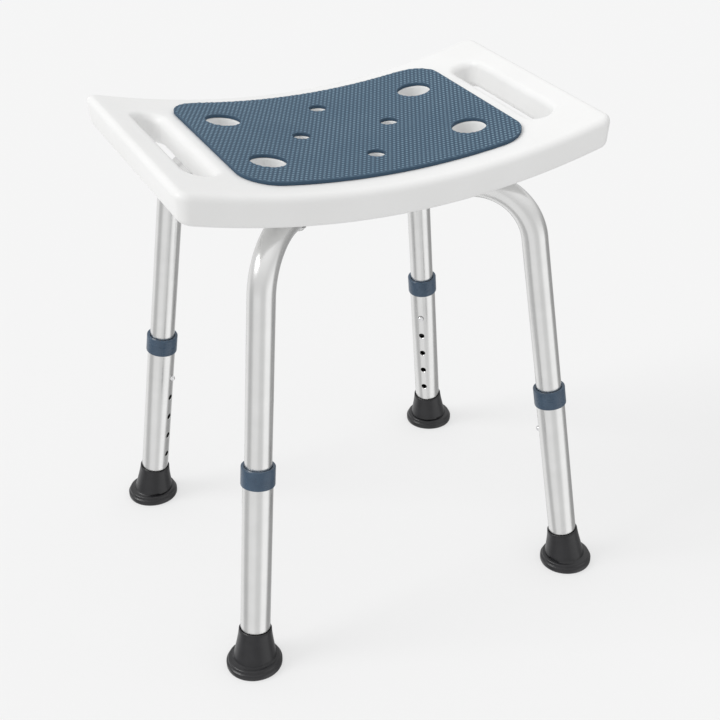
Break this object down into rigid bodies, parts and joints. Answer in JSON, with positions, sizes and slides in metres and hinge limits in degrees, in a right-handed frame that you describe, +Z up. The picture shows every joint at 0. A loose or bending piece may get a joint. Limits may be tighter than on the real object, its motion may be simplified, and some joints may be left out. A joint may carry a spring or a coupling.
{
  "type": "shower stool",
  "caption": "Height-adjustable shower stool: curved white seat with hand slots and a slate blue studded pad, on crossed tubular legs with snap buttons and rubber tips.",
  "frame": {"origin": "on the floor, under the middle of the seat", "axes": "+X along the seat's long side, +Y across it, +Z up"},
  "size_m": [0.418, 0.3674, 0.4838],
  "materials": {
    "seat": "satin white high-density polyethylene",
    "pad": "slate blue closed-cell EVA foam, embossed with small studs",
    "aluminium": "satin anodised",
    "collar": "slate blue moulded nylon",
    "rubber": "matt black rubber",
    "steel": "plain stainless steel",
    "chrome": "polished",
    "brass": "plain",
    "spacer": "grey moulded nylon"
  },
  "bodies": {
    "seat_and_frame": {"seat_shell": "seat", "seat_pad": "pad", "frame_tube_a": "aluminium", "frame_tube_b": "aluminium", "crossing_spacer": "spacer", "centre_bolt": "steel", "centre_washer": "steel", "centre_insert": "brass", "frame_screw_front_left": "steel", "screw_washer_front_left": "steel", "screw_insert_front_left": "brass", "spring_clip_front_left": "steel", "frame_screw_front_right": "steel", "screw_washer_front_right": "steel", "screw_insert_front_right": "brass", "spring_clip_front_right": "steel", "frame_screw_rear_left": "steel", "screw_washer_rear_left": "steel", "screw_insert_rear_left": "brass", "spring_clip_rear_left": "steel", "frame_screw_rear_right": "steel", "screw_washer_rear_right": "steel", "screw_insert_rear_right": "brass", "spring_clip_rear_right": "steel"},
    "leg_front_left": {"leg_tube_front_left": "aluminium", "collar_front_left": "collar", "foot_tip_front_left": "rubber", "tip_washer_front_left": "steel"},
    "button_front_left": {"snap_button_front_left": "chrome"},
    "leg_front_right": {"leg_tube_front_right": "aluminium", "collar_front_right": "collar", "foot_tip_front_right": "rubber", "tip_washer_front_right": "steel"},
    "button_front_right": {"snap_button_front_right": "chrome"},
    "leg_rear_left": {"leg_tube_rear_left": "aluminium", "collar_rear_left": "collar", "foot_tip_rear_left": "rubber", "tip_washer_rear_left": "steel"},
    "button_rear_left": {"snap_button_rear_left": "chrome"},
    "leg_rear_right": {"leg_tube_rear_right": "aluminium", "collar_rear_right": "collar", "foot_tip_rear_right": "rubber", "tip_washer_rear_right": "steel"},
    "button_rear_right": {"snap_button_rear_right": "chrome"}
  },
  "joints": [
    {"name": "leg_slide_front_left", "type": "slide", "parent": "seat_and_frame", "child": "leg_front_left", "axis": [0.1058, 0.0934, 0.99], "range_m": [0, 0.1016], "deforming": ["snap_button_front_left"]},
    {"name": "button_press_front_left", "type": "slide", "parent": "seat_and_frame", "child": "button_front_left", "axis": [-0.6428, -0.7532, 0.1397], "range_m": [0, 0.0049], "stiffness_N_per_m": 1500, "springref_m": -0.002, "deforming": ["spring_clip_front_left"]},
    {"name": "leg_slide_front_right", "type": "slide", "parent": "seat_and_frame", "child": "leg_front_right", "axis": [-0.1058, 0.0934, 0.99], "range_m": [0, 0.1016], "deforming": ["snap_button_front_right"]},
    {"name": "button_press_front_right", "type": "slide", "parent": "seat_and_frame", "child": "button_front_right", "axis": [0.6428, -0.7532, 0.1397], "range_m": [0, 0.0049], "stiffness_N_per_m": 1500, "springref_m": -0.002, "deforming": ["spring_clip_front_right"]},
    {"name": "leg_slide_rear_left", "type": "slide", "parent": "seat_and_frame", "child": "leg_rear_left", "axis": [0.1058, -0.0934, 0.99], "range_m": [0, 0.1016], "deforming": ["snap_button_rear_left"]},
    {"name": "button_press_rear_left", "type": "slide", "parent": "seat_and_frame", "child": "button_rear_left", "axis": [-0.6428, 0.7532, 0.1397], "range_m": [0, 0.0049], "stiffness_N_per_m": 1500, "springref_m": -0.002, "deforming": ["spring_clip_rear_left"]},
    {"name": "leg_slide_rear_right", "type": "slide", "parent": "seat_and_frame", "child": "leg_rear_right", "axis": [-0.1058, -0.0934, 0.99], "range_m": [0, 0.1016], "deforming": ["snap_button_rear_right"]},
    {"name": "button_press_rear_right", "type": "slide", "parent": "seat_and_frame", "child": "button_rear_right", "axis": [0.6428, 0.7532, 0.1397], "range_m": [0, 0.0049], "stiffness_N_per_m": 1500, "springref_m": -0.002, "deforming": ["spring_clip_rear_right"]}
  ]
}
